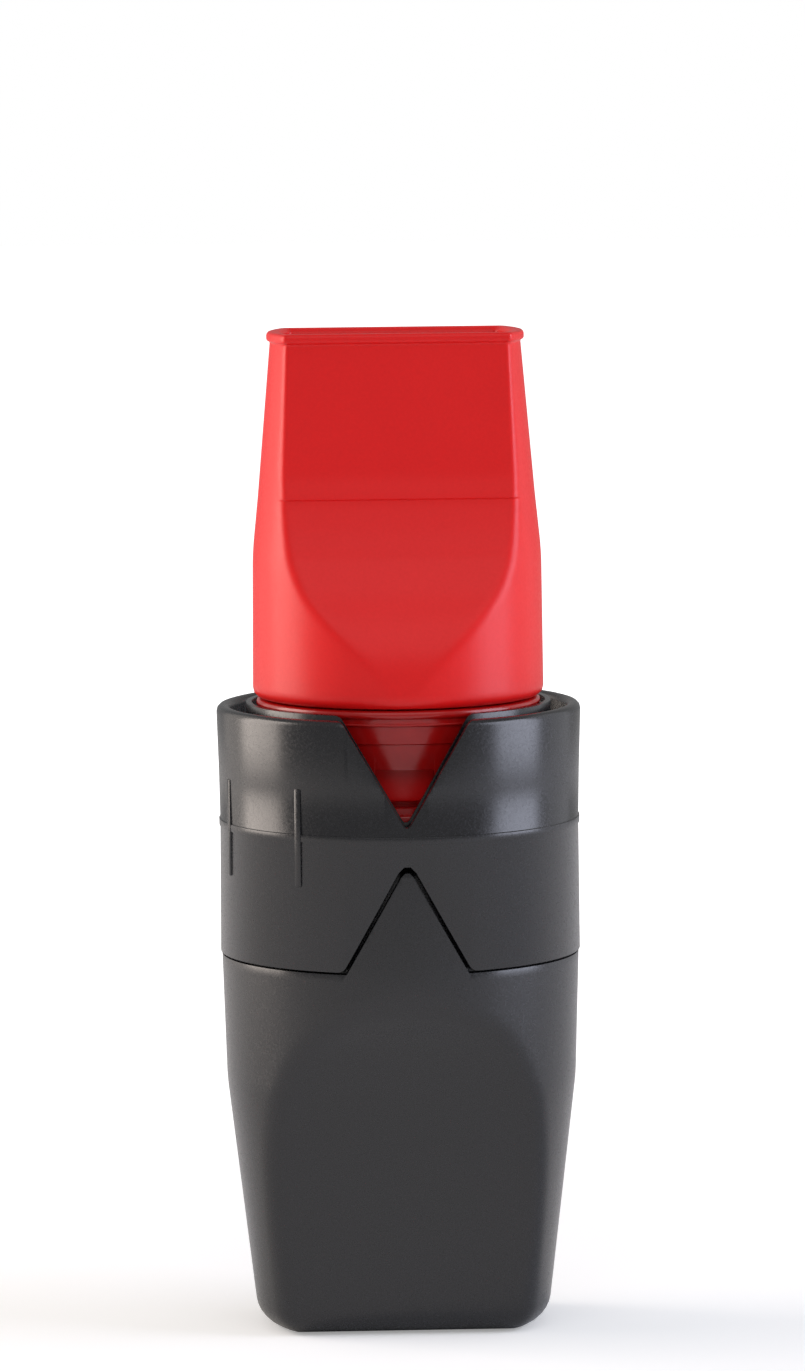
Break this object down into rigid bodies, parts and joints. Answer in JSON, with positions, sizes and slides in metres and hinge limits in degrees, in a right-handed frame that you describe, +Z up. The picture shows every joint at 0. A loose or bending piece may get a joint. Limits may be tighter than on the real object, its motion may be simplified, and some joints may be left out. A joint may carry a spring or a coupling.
{
  "type": "oscillating positive expiratory pressure device",
  "caption": "Handheld breathing exerciser: a turning red mouthpiece with a soft valve hose, in a dark sleeve with V notches on a flattened housing that also serves as its cap.",
  "frame": {"origin": "middle of the foot's underside, on the upright axis", "axes": "+Z up towards the mouth end, -Y the front with the V notch that has the window behind it, +X to the right of a person who looks at that front"},
  "size_m": [0.0468, 0.0466, 0.1282],
  "materials": {
    "dark_plastic": "fine satin texture",
    "mouthpiece_red": "satin",
    "holder_red": "gloss",
    "hose_silicone": "soft matte",
    "clamp_rubber": "soft matte",
    "seal_rubber": "soft matte"
  },
  "bodies": {
    "housing": {"cap_housing": "dark_plastic"},
    "sleeve": {"connector_sleeve": "dark_plastic", "guide_ring": "dark_plastic", "hose_guide": "dark_plastic"},
    "holder": {"hose_holder": "holder_red", "hose_clamp": "clamp_rubber", "valve_hose": "hose_silicone"},
    "mouthpiece": {"mouthpiece": "mouthpiece_red", "mouthpiece_seal": "seal_rubber"}
  },
  "joints": [
    {"name": "sleeve_pull", "type": "slide", "parent": "housing", "child": "sleeve", "axis": [0, 0, 1], "range_m": [0, 0.06]},
    {"name": "mouthpiece_twist", "type": "hinge", "parent": "sleeve", "child": "holder", "pos_m": [0, 0, 0.065], "axis": [0, 0, -1], "range_deg": [0, 144], "deforming": ["valve_hose"]},
    {"name": "mouthpiece_pull", "type": "slide", "parent": "holder", "child": "mouthpiece", "axis": [0, 0, 1], "range_m": [0, 0.02]}
  ]
}
